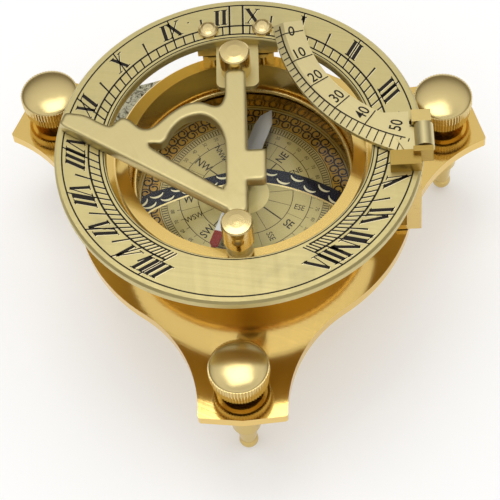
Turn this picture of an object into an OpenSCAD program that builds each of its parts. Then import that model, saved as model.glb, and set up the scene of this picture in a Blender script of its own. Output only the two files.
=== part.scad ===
// Brass sundial compass: a glazed compass bowl on a three-lobed base with
// levelling screws, under a hinged hour ring that carries a folding gnomon and
// a folding latitude arc. Millimetres. +Z is up, +Y is north. The origin is the
// middle of the base plate's underside, on the axis of the bowl.

/* [Base plate] */
// Diameter of the round part of the base plate
plate_d = 76; // [73:0.2:80]
// Thickness of the base plate
plate_t = 2.4; // [2.2:0.1:4]
// Half width of a lobe at its narrowest
lobe_half_w = 9.6; // [8.8:0.1:11]
// Radius of the hollow flanks that lead from the round part into the lobes
flank_r = 30; // [26:1:34]
// Radius of the lobes' corners
lobe_corner_r = 0.8; // [0.4:0.1:2]
// Direction of the front lobe, counted from east towards north
front_dir = 268.6; // [266:0.1:272]
// Direction of the right lobe
right_dir = 21.5; // [18:0.1:32]
// Direction of the left lobe
left_dir = 150.7; // [147:0.1:154]
// Reach of the front lobe from the bowl's axis
front_reach = 57.9; // [56:0.1:62]
// Reach of the right lobe
right_reach = 56.5; // [55:0.1:61]
// Reach of the left lobe
left_reach = 57.7; // [56:0.1:62]

/* [Levelling screws] */
// Distance of the front levelling screw from the bowl's axis
front_screw_r = 49.2; // [48.6:0.1:51]
// Distance of the right levelling screw
right_screw_r = 49.1; // [48.6:0.1:50]
// Distance of the left levelling screw
left_screw_r = 50.8; // [49:0.1:51]
// How far the front screw stands west of its lobe's middle line
front_screw_west = 0.4; // [0:0.1:0.8]
// Diameter of the screws' stems
stem_d = 4.4; // [3.6:0.1:4.8]
// Diameter of the shouldered leg under the base plate
leg_d = 6.5; // [5.6:0.1:7]
// Gap between the base plate and the leg's shoulder
leg_gap = 2.2; // [2:0.1:3]
// Length of the straight part of the leg
leg_straight = 12; // [9:0.5:13]
// Height of the base plate's underside above the table
stand_h = 24.6; // [22:0.2:28]
// Diameter of the ball at the foot
ball_d = 4.3; // [4:0.1:5.4]
// Diameter of the foot's waist above the ball
waist_d = 3.7; // [2.8:0.1:3.8]
// Diameter of the knobs
knob_d = 13.2; // [12:0.2:14]
// Height of the knurled band of a knob
knurl_h = 5.3; // [4.4:0.1:6]
// Height of the plain chin under the knurled band
knob_chin_h = 0.5; // [0.4:0.1:1]
// Height of the knob's spun dome
knob_dome_h = 0.5; // [0.3:0.05:0.9]
// Gap between a knob and the base plate
knob_gap = 2.4; // [2:0.1:3]
// Number of flutes in a knob's edge
flute_count = 60; // [36:1:72]
// Depth of the flutes
flute_depth = 0.25; // [0.15:0.05:0.35]

/* [Compass bowl] */
// Thickness of the bowl's wall above the glass
bowl_wall = 2.7; // [2.2:0.1:3.2]
// Overhang of the heavier band around the bowl's rim
band_over = 0.5; // [0.3:0.05:0.8]
// Height of that band
band_h = 2; // [1.4:0.1:3]
// Height of the bowl's rim above the base plate
bowl_h = 15.3; // [14:0.1:15.6]
// Inner diameter of the bowl above the glass
bowl_bore_d = 49.6; // [49.2:0.2:50.2]
// Width of the ledge that the glass lies on
ledge_w = 0.6; // [0.5:0.05:1]
// Wall of the spigot that stands in the base plate
spigot_wall = 2.3; // [1.8:0.1:2.7]
// Depth of the recess in the base plate
recess_depth = 1.4; // [1:0.1:1.6]
// Thickness of the compass card
card_t = 0.3; // [0.2:0.05:0.5]
// Thickness of the glass
glass_t = 1.5; // [1.2:0.1:2]
// Height of the glass ledge above the card
ledge_h = 5.2; // [4.8:0.1:6]
// Wire diameter of the glass's retaining ring
retainer_d = 1.1; // [0.8:0.1:1.3]

/* [Needle] */
// Reach of the needle's north arm
needle_north = 22; // [17:0.5:22]
// Reach of the needle's south arm
needle_south = 17; // [13:0.2:18]
// Width of the north arm
needle_w = 3.8; // [2.8:0.1:4.4]
// Width of the south arm
needle_south_w = 2.1; // [1.6:0.1:2.6]
// Thickness of the needle's sheet
needle_t = 0.4; // [0.3:0.05:0.6]
// Height of the needle above the card
needle_lift = 3.4; // [3:0.1:3.6]
// Direction that the needle points in, counted from east towards north
needle_dir = 70; // [0:1:359]
// Distance of the needle's pivot west of the bowl's axis
pivot_west = 1.4; // [0:0.1:1.6]
// Diameter of the needle's cap
cap_d = 4.6; // [4:0.1:5.6]

/* [Hour ring] */
// Outer diameter of the hour ring
ring_d = 80; // [76:0.5:84]
// Diameter of the hole in the hour ring
ring_hole_d = 57.6; // [56:0.2:58.6]
// Thickness of the hour ring
ring_t = 2; // [1.6:0.1:2.6]
// Bevel around the hour ring's outer edge
ring_bevel = 0.5; // [0.2:0.05:0.8]
// Gap between the bowl's rim and the hour ring
ring_gap = 5.5; // [5.3:0.1:6.5]
// Distance of the hour ring's centre south of the bowl's axis
ring_south = 2.7; // [2:0.1:3.4]

/* [Ring hinge] */
// Width of the leaf under the hour ring
leaf_w = 18; // [16:0.5:20]
// Width of the bracket on the bowl
hinge_w = 16; // [14.4:0.2:17]
// Diameter of the hinge's knuckles
knuckle_d = 4.4; // [4:0.1:4.8]
// Distance of the knuckles north of the bowl's band
pin_north = 2.6; // [2.2:0.1:3]
// Width of the middle knuckle
mid_knuckle_w = 6.4; // [5:0.2:8]
// Diameter of the hinge pin
hinge_pin_d = 1.6; // [1.2:0.1:2]
// Thickness of the bracket on the bowl's rim
bracket_t = 2.1; // [1.6:0.1:2.3]

/* [Gnomon bridge] */
// Width of the bridge's plate
bridge_w = 9.4; // [9:0.2:11]
// Thickness of the bridge
bridge_t = 1.2; // [1:0.1:1.4]
// Reach of the plate from the inner edge of the hour ring
bridge_reach = 11.9; // [11:0.1:13]
// Width of the strap under the gnomon
strap_w = 4; // [3.2:0.1:4.6]
// Diameter of the posts
post_d = 6.8; // [6.4:0.1:7.4]
// Height of the posts above the hour ring
post_rise = 4.8; // [4.2:0.1:5.6]

/* [Gnomon] */
// Thickness of the gnomon's casting
gnomon_t = 2.6; // [2:0.1:2.8]
// Gap between the gnomon and the hour ring when folded
gnomon_gap = 0.2; // [0.15:0.05:0.4]
// Width of the gnomon's bar
bar_w = 4.4; // [3.8:0.1:5]
// Distance of the gnomon's axis west of the middle
axis_west = 0.3; // [0:0.1:0.6]
// Diameter of the pivot pins
pivot_d = 1.4; // [1:0.1:1.8]
// Reach of the stop tab east of the bar
tab_reach = 4.1; // [3.4:0.1:4.2]

/* [Latitude arc] */
// Radius of the graduated edge
arc_r = 42; // [41:0.2:43]
// Radius of the plain edge
arc_back_r = 33.4; // [33:0.2:34.2]
// Width of the arc at its tip
arc_tip_w = 6.55; // [5:0.05:7]
// Reach of the arc's foot west of its hinge pin
arc_foot_w = 4.3; // [4:0.1:5]
// Thickness of the arc
arc_t = 2; // [1.5:0.1:2.2]
// Width of the bevel along the graduated edge
arc_bevel_w = 2.3; // [1.6:0.1:2.6]
// Depth of that bevel
arc_bevel_t = 1; // [0.4:0.1:1.2]
// Gap between the arc and the hour ring when folded
arc_gap = 0.3; // [0.2:0.05:0.5]
// Diameter of the arc's hinge knuckle
arc_knuckle_d = 4.2; // [3.8:0.1:4.6]
// Width of that knuckle along its pin
arc_knuckle_w = 5.9; // [5:0.1:6.2]
// Diameter of the arc's hinge pin
arc_pin_d = 1.6; // [1.2:0.1:2]
// Thickness of the hinge's ears
ear_t = 1.4; // [1:0.1:1.8]
// Width of the block on the ring beside the hinge
block_w = 3.8; // [3.4:0.1:4.2]
// Height of that block
block_h = 2.8; // [2.2:0.1:3]
// Width of the prop under the ring
prop_w = 3.2; // [2.6:0.1:3.6]
// Depth of the prop
prop_t = 2.2; // [1.8:0.1:2.6]
// Thickness of the prop's foot
prop_foot_t = 1.6; // [1.2:0.1:2.2]

/* [Fits] */
// Radial clearance of a pin that turns in its hole
running_fit = 0.05; // [0.03:0.01:0.08]
// Side clearance between parts that move past each other
side_gap = 0.25; // [0.15:0.05:0.35]
// Radial clearance of a piece that drops into its seat
seat_fit = 0.1; // [0.05:0.05:0.2]

/* [Hidden] */

$fn = 96;
over = 0.1;
brass = [0.80, 0.71, 0.44];
gold = [0.76, 0.58, 0.22];
steel = [0.78, 0.79, 0.80];

// Heights, from the base plate up
recess_z = plate_t - recess_depth;
card_z = recess_z + card_t;
ledge_z = card_z + ledge_h;
glass_top = ledge_z + glass_t;
rim_z = plate_t + bowl_h;
ring_z = rim_z + ring_gap;
ring_top = ring_z + ring_t;
post_top = ring_top + post_rise;

// Levelling screws
knob_z = plate_t + knob_gap;
function on_circle(r, dir) = [r * cos(dir), r * sin(dir)];
front_at = on_circle(front_screw_r, front_dir) - [front_screw_west, 0];
right_at = on_circle(right_screw_r, right_dir);
left_at = on_circle(left_screw_r, left_dir);

// Bowl: everything is turned around its bore
bowl_d = bowl_bore_d + 2 * bowl_wall;
band_d = bowl_d + 2 * band_over;
ledge_bore_d = bowl_bore_d - 2 * ledge_w;
spigot_d = ledge_bore_d + 2 * spigot_wall;

// Ring hinge: the pin lies north of the bowl's wall
hinge_y = band_d / 2 + knuckle_d / 2 + pin_north;
hinge_z = rim_z + knuckle_d / 2;
leaf_south_y = band_d / 2 - 2.3;
leaf_north_y = hinge_y - knuckle_d / 2 - side_gap - 0.15;
leaf_lift = 0.3;
leaf_z = rim_z + bracket_t + leaf_lift;
leaf_rivet_d = 1.5;
leaf_rivet_x = leaf_w / 2 - 2.95;
leaf_rivet_west = 0.25;
leaf_rivet_y = leaf_north_y - leaf_rivet_d / 2 - 0.65;
leaf_head_d = 4.6;
leaf_head_h = 1.2;
bracket_screw_x = 5.6;
bracket_screw_y = (bowl_bore_d + band_d) / 4 - 0.6;
bracket_screw_d = 1.4;
bracket_screw_bite = 3;
bracket_head_d = 2.6;

// Gnomon axis and bridge
gnomon_z = ring_top + gnomon_gap;
axis_x = -axis_west;
axis_z = gnomon_z + gnomon_t / 2;
tab_sweep = sqrt(pow(bar_w / 2 + tab_reach, 2) + pow(gnomon_t / 2, 2));
strap_top = axis_z - tab_sweep - 0.35;
bridge_z = ring_z - bridge_t;
ring_n_y = ring_hole_d / 2 - ring_south;
bridge_south_y = ring_n_y - bridge_reach;
north_post_y = bridge_south_y + post_d / 2 + 1.5;
south_post_y = -25.6;
post_gap = 0.3;
bar_north_y = north_post_y - post_d / 2 - post_gap;
bar_south_y = south_post_y + post_d / 2 + post_gap;
rivet_d = 2.4;
south_stem_d = 4.2;
south_collar_h = 6.4;

// Latitude arc: each edge is a circle of its own through its tip and its root
function middle(a, b, r) =
    let (half = norm(b - a) / 2)
        (a + b) / 2 + sqrt(r * r - half * half) / (2 * half) * [a[1] - b[1], b[0] - a[0]];
function direction(from, to) = (atan2(to[1] - from[1], to[0] - from[0]) + 360) % 360;
arc_z = ring_top + arc_gap;
arc_pin_x = ring_d / 2 - 0.1;
arc_pin_z = ring_top + arc_gap + arc_knuckle_d / 2;
arc_knuckle_n_y = -2.1;
arc_knuckle_s_y = arc_knuckle_n_y - arc_knuckle_w;
tip_gap = 0.25;
arc_tip = [leaf_rivet_x - leaf_rivet_west + leaf_head_d / 2 + tip_gap, leaf_rivet_y - 0.8];
arc_root = [arc_pin_x - arc_foot_w, arc_knuckle_s_y];
arc_back_tip = arc_tip + [arc_tip_w, 0.5];
arc_back_root = [arc_root[0] - 4.2, arc_knuckle_n_y + 4.1];
arc_c = middle(arc_tip, arc_root, arc_r);
arc_back_c = middle(arc_back_tip, arc_back_root, arc_back_r);
ear_x = arc_pin_x - arc_knuckle_d / 2 - 0.4;
ear_w = arc_knuckle_d;
block_x = 32.4;
block_e_x = ring_d / 2 - 1;
block_n_y = arc_knuckle_s_y - side_gap;
block_s_y = block_n_y - block_w;
block_screw_d = 1.4;
block_head_d = 2.6;
prop_x = block_e_x - prop_w;
prop_lift = 0.3;
prop_foot_x = 33.4;
block_screw_y = block_s_y + prop_t / 2 + 0.4;
block_screw_xs = [block_x + 1.9, prop_x + prop_w / 2];

// Smooth curve through a list of points, as Catmull-Rom spans
function span(a, b, c, d, t) = 0.5 * ((2 * b) + (c - a) * t + (2 * a - 5 * b + 4 * c - d) * t * t
                                      + (3 * b - a - 3 * c + d) * t * t * t);
function smooth(p, steps) =
    let (n = len(p))
    [for (i = [0:n - 2], s = [0:steps - 1])
        span(p[max(i - 1, 0)], p[i], p[i + 1], p[min(i + 2, n - 1)], s / steps), p[n - 1]];
function arc_points(c, r, from, to, steps) = [for (i = [0:steps]) c + on_circle(r, from + (to - from) * i / steps)];

// Countersunk screw with its head's flat on the XY plane and its shank downwards
module countersunk(shank_d, head_d, length) {
    head_h = (head_d - shank_d) / 2;
    rotate_extrude()
        polygon([[0, 0], [head_d / 2, 0], [shank_d / 2, -head_h], [shank_d / 2, -length], [0, -length]]);
}

// Hole that such a screw drops into
module countersink(shank_d, head_d, length) {
    head_h = (head_d - shank_d) / 2;
    translate([0, 0, -head_h])
        cylinder(h = head_h + over, d1 = shank_d, d2 = head_d + 2 * over);
    translate([0, 0, -length - over])
        cylinder(h = length + 2 * over, d = shank_d);
}

// Outline of one lobe that points east: two hollow flanks, tangent to the round plate
module lobe_outline(reach) {
    flank_y = lobe_half_w + flank_r;
    flank_x = sqrt(pow(plate_d / 2 + flank_r, 2) - pow(flank_y, 2));
    difference() {
        intersection() {
            circle(r = reach);
            polygon([[0, 0], [flank_x, flank_y], [reach + 1, flank_y], [reach + 1, -flank_y], [flank_x, -flank_y]]);
        }
        for (side = [-1, 1])
            translate([flank_x, side * flank_y])
                circle(r = flank_r, $fn = 180);
    }
}

module plate_outline() {
    offset(r = lobe_corner_r, $fn = 32)
        offset(delta = -lobe_corner_r)
            union() {
                circle(d = plate_d, $fn = 180);
                rotate(front_dir)
                    lobe_outline(front_reach);
                rotate(right_dir)
                    lobe_outline(right_reach);
                rotate(left_dir)
                    lobe_outline(left_reach);
            }
}

module base_plate() {
    color(gold)
    difference() {
        linear_extrude(plate_t)
            plate_outline();
        translate([0, 0, recess_z])
            cylinder(h = recess_depth + over, d = spigot_d + 2 * seat_fit);
        for (at = [front_at, right_at, left_at])
            translate([at[0], at[1], -over])
                cylinder(h = plate_t + 2 * over, d = stem_d + 2 * running_fit);
        translate([-pivot_west, 0, -over])
            cylinder(h = recess_z + 2 * over, d = pivot_foot_d);
    }
}

// Turned tube with a spigot below, a ledge for the glass inside and a heavier band at the rim
bowl_wall_r = bowl_d / 2;
module compass_bowl() {
    color(gold)
    difference() {
        rotate_extrude()
            polygon([[ledge_bore_d / 2, recess_z], [spigot_d / 2, recess_z], [spigot_d / 2, plate_t],
                     [bowl_wall_r, plate_t], [bowl_wall_r, rim_z - band_h], [band_d / 2, rim_z - band_h + 0.4],
                     [band_d / 2, rim_z - 0.4], [band_d / 2 - 0.4, rim_z], [bowl_bore_d / 2, rim_z],
                     [bowl_bore_d / 2, glass_top + retainer_d * 0.6], [bowl_bore_d / 2 + 0.25, glass_top + retainer_d / 2],
                     [bowl_bore_d / 2, glass_top], [bowl_bore_d / 2, ledge_z], [ledge_bore_d / 2, ledge_z]]);
        for (side = [-1, 1])
            translate([side * bracket_screw_x, bracket_screw_y, rim_z - bracket_screw_bite])
                cylinder(h = bracket_screw_bite + over, d = bracket_screw_d);
    }
}

module compass_card() {
    color([0.85, 0.78, 0.5])
    translate([0, 0, recess_z])
        difference() {
            cylinder(h = card_t, d = ledge_bore_d - 2 * seat_fit);
            translate([-pivot_west, 0, -over])
                cylinder(h = card_t + 2 * over, d = pivot_foot_d);
        }
}

// Pointed pin riveted through the plate
pivot_foot_d = 2.4;
needle_z = card_z + needle_lift;
pivot_point_z = needle_z + 0.3;
module needle_pivot() {
    color(brass)
    translate([-pivot_west, 0, 0])
        rotate_extrude()
            polygon([[0, 0], [pivot_foot_d / 2, 0], [pivot_foot_d / 2, card_z + 0.6], [0.5, card_z + 1],
                     [0.4, pivot_point_z - 0.9], [0, pivot_point_z]]);
}

module glass_cover() {
    color([0.85, 0.92, 0.92, 0.35])
    translate([0, 0, ledge_z])
        cylinder(h = glass_t, d = bowl_bore_d - 2 * seat_fit);
}

// Sprung ring of round wire over the glass, with a gap at the south
module glass_retainer() {
    color(gold)
    translate([0, 0, glass_top + retainer_d / 2])
        rotate([0, 0, -85])
            rotate_extrude(angle = 350)
                translate([bowl_bore_d / 2 - retainer_d / 2, 0])
                    circle(d = retainer_d, $fn = 24);
}

// Bracket on the bowl's rim: a plate with two outer knuckles
module hinge_bracket() {
    color(brass)
    difference() {
        union() {
            translate([-hinge_w / 2, leaf_south_y, rim_z])
                cube([hinge_w, hinge_y - leaf_south_y, bracket_t]);
            translate([-hinge_w / 2, hinge_y, hinge_z])
                rotate([0, 90, 0])
                    cylinder(h = hinge_w, d = knuckle_d);
        }
        translate([-mid_knuckle_w / 2 - side_gap, hinge_y - knuckle_d / 2 - side_gap, rim_z - over])
            cube([mid_knuckle_w + 2 * side_gap, knuckle_d + 2 * side_gap, knuckle_d + 2 * over]);
        translate([-hinge_w / 2 - over, hinge_y, hinge_z])
            rotate([0, 90, 0])
                cylinder(h = hinge_w + 2 * over, d = hinge_pin_d);
        for (side = [-1, 1])
            translate([side * bracket_screw_x, bracket_screw_y, rim_z + bracket_t])
                countersink(bracket_screw_d, bracket_head_d, bracket_t);
    }
}

module hinge_bracket_screws() {
    color(brass)
    for (side = [-1, 1])
        translate([side * bracket_screw_x, bracket_screw_y, rim_z + bracket_t])
            countersunk(bracket_screw_d, bracket_head_d, bracket_t + bracket_screw_bite);
}

module hinge_pin() {
    color(steel)
    translate([-hinge_w / 2 - 0.4, hinge_y, hinge_z])
        rotate([0, 90, 0])
            cylinder(h = hinge_w + 0.8, d = hinge_pin_d);
}

// Strip of sheet with a broad pointed north arm, a slim south arm and a round eye for the cap
eye_d = 1.6;
module needle_blade() {
    n = needle_w / 2;
    e = needle_south_w / 2;
    shoulder = needle_w * 0.8;
    point = needle_north * 0.23;
    color(steel)
    translate([-pivot_west, 0, needle_z])
        rotate(needle_dir)
            difference() {
                linear_extrude(needle_t)
                    polygon([[needle_north, -n * 0.3], [needle_north - point * 0.48, n * 0.75],
                             [needle_north - point, n], [shoulder, n], [-e, e * 1.3], [-shoulder, e],
                             [-needle_south + e, e], [-needle_south, e * 0.4], [-needle_south, -e * 0.7],
                             [-needle_south + e * 0.6, -e], [-shoulder, -e], [-e, -e * 1.3], [shoulder, -n],
                             [needle_north - point * 0.72, -n]]);
                translate([0, 0, -over])
                    cylinder(h = needle_t + 2 * over, d = eye_d);
            }
}

// Turned cap with a conical seat that rides on the pivot's point
module needle_cap() {
    top_z = needle_z + needle_t;
    color(brass)
    translate([-pivot_west, 0, 0])
        rotate_extrude()
            polygon([[0, pivot_point_z + running_fit], [0.9, needle_z - 0.7], [1.3, needle_z - 0.7], [1.3, needle_z],
                     [eye_d / 2, needle_z], [eye_d / 2, top_z], [cap_d / 2, top_z], [cap_d / 2 - 0.3, top_z + 0.4],
                     [0.9, top_z + 0.6], [0, top_z + 0.7]]);
}

module ring_rivet_holes(extra) {
    for (side = [-1, 1])
        translate([side * leaf_rivet_x - leaf_rivet_west, leaf_rivet_y, leaf_z])
            cylinder(h = ring_top - leaf_z + extra, d = leaf_rivet_d);
}

module hour_ring() {
    color(brass)
    difference() {
        translate([0, -ring_south, ring_z])
            rotate_extrude($fn = 180)
                polygon([[ring_hole_d / 2, 0], [ring_d / 2, 0], [ring_d / 2, ring_t - ring_bevel],
                         [ring_d / 2 - ring_bevel, ring_t], [ring_hole_d / 2 + 0.2, ring_t],
                         [ring_hole_d / 2, ring_t - 0.2]]);
        ring_rivet_holes(over);
        for (x = block_screw_xs)
            translate([x, block_screw_y, ring_z - over])
                cylinder(h = ring_t + 2 * over, d = block_screw_d);
        translate([ear_rivet_at[0], ear_rivet_at[1], ring_z - over])
            cylinder(h = ring_t + 2 * over, d = ear_rivet_d);
    }
}

// Leaf under the hour ring, let out on top for the bridge's tail, with the middle knuckle
module ring_hinge_leaf() {
    color(brass)
    difference() {
        union() {
            translate([-leaf_w / 2, leaf_south_y, leaf_z])
                cube([leaf_w, leaf_north_y - leaf_south_y, ring_z - leaf_z]);
            translate([-mid_knuckle_w / 2, leaf_north_y - over, hinge_z])
                cube([mid_knuckle_w, hinge_y - leaf_north_y + over + 1, ring_z - hinge_z]);
            translate([-mid_knuckle_w / 2, hinge_y, hinge_z])
                rotate([0, 90, 0])
                    cylinder(h = mid_knuckle_w, d = knuckle_d - 2 * over);
        }
        translate([-bridge_w / 2 - seat_fit, leaf_south_y - over, bridge_z])
            cube([bridge_w + 2 * seat_fit, leaf_north_y - leaf_south_y + 2 * over, bridge_t + over]);
        translate([-mid_knuckle_w / 2 - over, hinge_y, hinge_z])
            rotate([0, 90, 0])
                cylinder(h = mid_knuckle_w + 2 * over, d = hinge_pin_d + 2 * running_fit);
        ring_rivet_holes(over);
    }
}

// Dome-headed rivets through ring and leaf
module ring_leaf_rivets() {
    color(gold)
    for (side = [-1, 1])
        translate([side * leaf_rivet_x - leaf_rivet_west, leaf_rivet_y, 0]) {
            translate([0, 0, leaf_z])
                cylinder(h = ring_top - leaf_z + over, d = leaf_rivet_d);
            translate([0, 0, ring_top])
                rotate_extrude()
                    polygon([[0, 0], [leaf_head_d / 2, 0], [leaf_head_d / 2, 0.3], [leaf_head_d / 2 - 0.2, 0.6],
                             [leaf_head_d / 2 - 0.6, leaf_head_h - 0.3], [leaf_head_d / 4, leaf_head_h - 0.08],
                             [0, leaf_head_h]]);
        }
}

// Plate under the ring that steps down to a strap under the gnomon and ends in the south post's pad
module gnomon_bridge() {
    corner = 1.6;
    strap_z = strap_top - bridge_t;
    color(brass)
    difference() {
        union() {
            translate([0, 0, bridge_z])
                linear_extrude(bridge_t)
                    union() {
                        translate([-bridge_w / 2, bridge_south_y + corner])
                            square([bridge_w, leaf_north_y - bridge_south_y - corner]);
                        translate([-bridge_w / 2 + corner, bridge_south_y])
                            square([bridge_w - 2 * corner, corner + over]);
                        for (side = [-1, 1])
                            translate([side * (bridge_w / 2 - corner), bridge_south_y + corner])
                                circle(r = corner);
                    }
            translate([axis_x - strap_w / 2, bridge_south_y - bridge_t + over, strap_z])
                cube([strap_w, bridge_t, ring_z - strap_z]);
            translate([axis_x - strap_w / 2, south_post_y, strap_z])
                cube([strap_w, bridge_south_y - south_post_y, bridge_t]);
            translate([axis_x, south_post_y, strap_z])
                cylinder(h = bridge_t, d = south_stem_d + 1.6);
        }
        translate([axis_x, north_post_y, bridge_z - over])
            cylinder(h = bridge_t + 2 * over, d = rivet_d);
        translate([axis_x, south_post_y, strap_z - over])
            cylinder(h = bridge_t + 2 * over, d = rivet_d);
    }
}

// Turned post with a rivet below, a slightly domed top and a cross hole for the pivot
module post(y, foot_z, collar_z, foot_d, rivet_z) {
    dome = 0.5;
    color(brass)
    difference() {
        translate([axis_x, y, 0])
            rotate_extrude()
                polygon([[0, rivet_z], [rivet_d / 2, rivet_z], [rivet_d / 2, foot_z], [foot_d / 2, foot_z],
                         [foot_d / 2, collar_z], [post_d / 2, collar_z], [post_d / 2, post_top - dome],
                         [post_d / 2 - 0.3, post_top - dome * 0.5], [post_d / 4, post_top - dome * 0.12],
                         [0, post_top]]);
        translate([axis_x, y + post_d, axis_z])
            rotate([90, 0, 0])
                cylinder(h = 2 * post_d, d = pivot_d);
    }
}

module north_post() {
    post(north_post_y, ring_z, ring_z, post_d, bridge_z);
}

// The south post stands lower and has a wide hole in its south face that shows the pivot's end
eye_hole_d = 2.6;
eye_hole_depth = 1.4;
module south_post() {
    color(brass)
    difference() {
        post(south_post_y, strap_top, post_top - south_collar_h, south_stem_d, strap_top - bridge_t);
        translate([axis_x, south_post_y - post_d / 2 + eye_hole_depth, axis_z])
            rotate([90, 0, 0])
                cylinder(h = post_d, d = eye_hole_d);
    }
}

// Two plain pins pressed into the posts, which the gnomon turns on
pivot_bite = 3;
module gnomon_pivots() {
    color(steel) {
        translate([axis_x, north_post_y + post_d / 2, axis_z])
            rotate([90, 0, 0])
                cylinder(h = post_d + post_gap + pivot_bite, d = pivot_d);
        translate([axis_x, bar_south_y + pivot_bite, axis_z])
            rotate([90, 0, 0])
                cylinder(h = pivot_bite + post_gap + post_d - eye_hole_depth, d = pivot_d);
    }
}

// Outline of the gnomon, folded to the west: bar, scrolled upper edge, straight style and stop tab
bar_west = axis_x - bar_w / 2;
bar_east = axis_x + bar_w / 2;
style_tip = [-38, 4.6];
style_foot = [bar_west, -20.9];
scroll = [[bar_west, 8.6], [bar_west - 0.9, 6.3], [bar_west - 2.4, 5.8], [bar_west - 5.4, 7],
          [bar_west - 8.7, 6.6], [bar_west - 12, 4.4], [bar_west - 15.2, 1.4], [bar_west - 17, 0.6],
          [bar_west - 18.7, 1.1], [bar_west - 20.8, 3.2], [bar_west - 22.4, 3.9], [bar_west - 23.8, 3],
          [bar_west - 25, 1.9], [bar_west - 27.2, 2.9], [bar_west - 30.4, 5], [bar_west - 32.9, 5.7],
          [bar_west - 34.8, 5.9], style_tip];
window = [[bar_west, -14.6], [bar_west, -6], [bar_west - 0.4, -2], [bar_west - 1.8, 1.4], [bar_west - 4.2, 3.6],
          [bar_west - 6.6, 3.9], [bar_west - 9.6, 2.7], [bar_west - 11.8, 0.1], [bar_west - 12.8, -2.3]];
window_toe = [[bar_west - 13.9, -3.3], [bar_west - 16.4, -4.1], [bar_west - 1.8, -15.2], [bar_west - 0.7, -15.3]];
tab_n_y = -6.2;
tab_s_y = -13.9;
tab_corner_r = 1;
bar_end_r = 1.2;
module gnomon_outline() {
    difference() {
        union() {
            polygon(concat(smooth(scroll, 6), [style_tip + [-0.5, -1.2], style_tip + [0.3, -2],
                                               style_foot, style_foot + [bar_w / 2, 0], [axis_x, 8.6]]));
            translate([bar_west, bar_south_y + bar_end_r])
                square([bar_w, bar_north_y - bar_south_y - 2 * bar_end_r]);
            translate([bar_west + bar_end_r, bar_south_y])
                square([bar_w - 2 * bar_end_r, bar_north_y - bar_south_y]);
            for (x = [bar_west + bar_end_r, bar_east - bar_end_r], y = [bar_south_y + bar_end_r, bar_north_y - bar_end_r])
                translate([x, y])
                    circle(r = bar_end_r);
            translate([axis_x, tab_s_y + tab_corner_r])
                square([bar_w / 2 + tab_reach, tab_n_y - tab_s_y - tab_corner_r]);
            translate([axis_x, tab_s_y])
                square([bar_w / 2 + tab_reach - tab_corner_r, tab_corner_r + over]);
            translate([bar_east + tab_reach - tab_corner_r, tab_s_y + tab_corner_r])
                circle(r = tab_corner_r);
        }
        polygon(concat(smooth(window, 6), smooth(window_toe, 3)));
    }
}

module gnomon() {
    color(brass)
    difference() {
        translate([0, 0, gnomon_z])
            linear_extrude(gnomon_t)
                gnomon_outline();
        translate([axis_x, bar_north_y + over, axis_z])
            rotate([90, 0, 0])
                cylinder(h = pivot_bite + 0.5 + over, d = pivot_d + 2 * running_fit);
        translate([axis_x, bar_south_y + pivot_bite + 0.5, axis_z])
            rotate([90, 0, 0])
                cylinder(h = pivot_bite + 0.5 + over, d = pivot_d + 2 * running_fit);
    }
}

// Crescent of plate, bevelled along its graduated edge, with a foot that reaches to the knuckle and stops short of the ear
foot_plate = [arc_back_root - [1.1, 0], [arc_pin_x, arc_back_root[1]], [arc_pin_x, arc_knuckle_s_y], arc_root,
              arc_root + [-2.5, 4.5]];
module crescent() {
    difference() {
        intersection() {
            translate([arc_c[0], arc_c[1], arc_z])
                rotate_extrude($fn = 180)
                    polygon([[0, 0], [arc_r, 0], [arc_r, arc_t - arc_bevel_t], [arc_r - arc_bevel_w, arc_t], [0, arc_t]]);
            translate([0, 0, arc_z - over])
                linear_extrude(arc_t + 2 * over)
                    polygon(concat([arc_c], arc_points(arc_c, arc_r * 1.1, direction(arc_c, arc_tip),
                                                       direction(arc_c, arc_root), 8)));
        }
        translate([arc_back_c[0], arc_back_c[1], arc_z - over])
            cylinder(h = arc_t + 2 * over, r = arc_back_r, $fn = 180);
    }
}

module latitude_arc() {
    color(brass)
    difference() {
        union() {
            difference() {
                union() {
                    crescent();
                    translate([0, 0, arc_z])
                        linear_extrude(arc_t)
                            polygon(foot_plate);
                }
                translate([ear_x - 0.5, arc_knuckle_n_y, arc_z - over])
                    cube([ear_w, arc_back_root[1] - arc_knuckle_n_y + over, arc_t + 2 * over]);
            }
            translate([arc_pin_x, arc_knuckle_n_y, arc_pin_z])
                rotate([90, 0, 0])
                    cylinder(h = arc_knuckle_w, d = arc_knuckle_d);
        }
        translate([arc_pin_x, arc_knuckle_n_y + over, arc_pin_z])
            rotate([90, 0, 0])
                cylinder(h = arc_knuckle_w + 2 * over, d = arc_pin_d + 2 * running_fit);
    }
}

// Block on the ring's east side, with a thin ear that holds the pin's south end
module pin_hole(north_y, depth) {
    translate([arc_pin_x, north_y + over, arc_pin_z])
        rotate([90, 0, 0])
            cylinder(h = depth + 2 * over, d = arc_pin_d);
}

module arc_block() {
    color(brass)
    difference() {
        union() {
            translate([block_x, block_s_y, ring_top])
                cube([block_e_x - block_x, block_w, block_h]);
            translate([ear_x, block_n_y - ear_t, ring_top])
                cube([ear_w, ear_t, arc_pin_z - ring_top + arc_knuckle_d / 2 - 0.5]);
        }
        pin_hole(block_n_y, ear_t);
        for (x = block_screw_xs)
            translate([x, block_screw_y, ring_top + block_h])
                countersink(block_screw_d, block_head_d, block_h);
    }
}

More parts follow.
